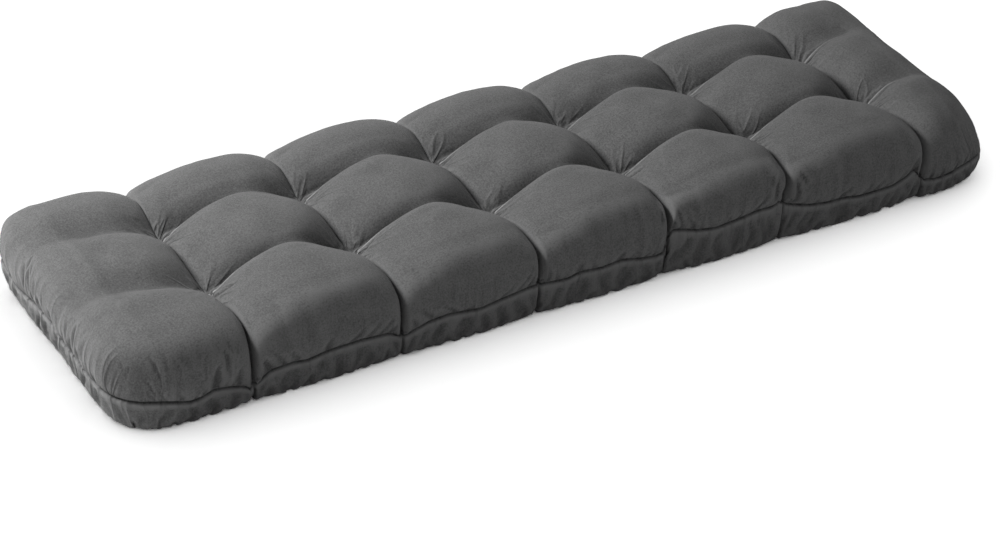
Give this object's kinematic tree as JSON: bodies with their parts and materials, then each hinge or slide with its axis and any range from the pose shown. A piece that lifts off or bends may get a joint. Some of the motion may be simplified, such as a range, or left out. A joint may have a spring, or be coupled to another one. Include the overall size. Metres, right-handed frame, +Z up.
{
  "type": "bench cushion",
  "caption": "Long tufted bench cushion: a soft filled seat pad with rows of domed puffs, drawn in by thread ties and edged by one low seam.",
  "frame": {"origin": "on the surface that the cushion lies on, under the middle of the cushion", "axes": "+X along the cushion's length, +Y from its front long side to its back one, +Z up out of the tufted face"},
  "size_m": [1.435, 0.47, 0.1405],
  "materials": {
    "cloth": "matte charcoal plain-woven polyester",
    "thread": "twisted polyester thread"
  },
  "bodies": {
    "root": {"cushion": "cloth", "tie_front_1": "thread", "tie_front_2": "thread", "tie_front_3": "thread", "tie_front_4": "thread", "tie_front_5": "thread", "tie_front_6": "thread", "tie_back_1": "thread", "tie_back_2": "thread", "tie_back_3": "thread", "tie_back_4": "thread", "tie_back_5": "thread", "tie_back_6": "thread"}
  },
  "joints": []
}
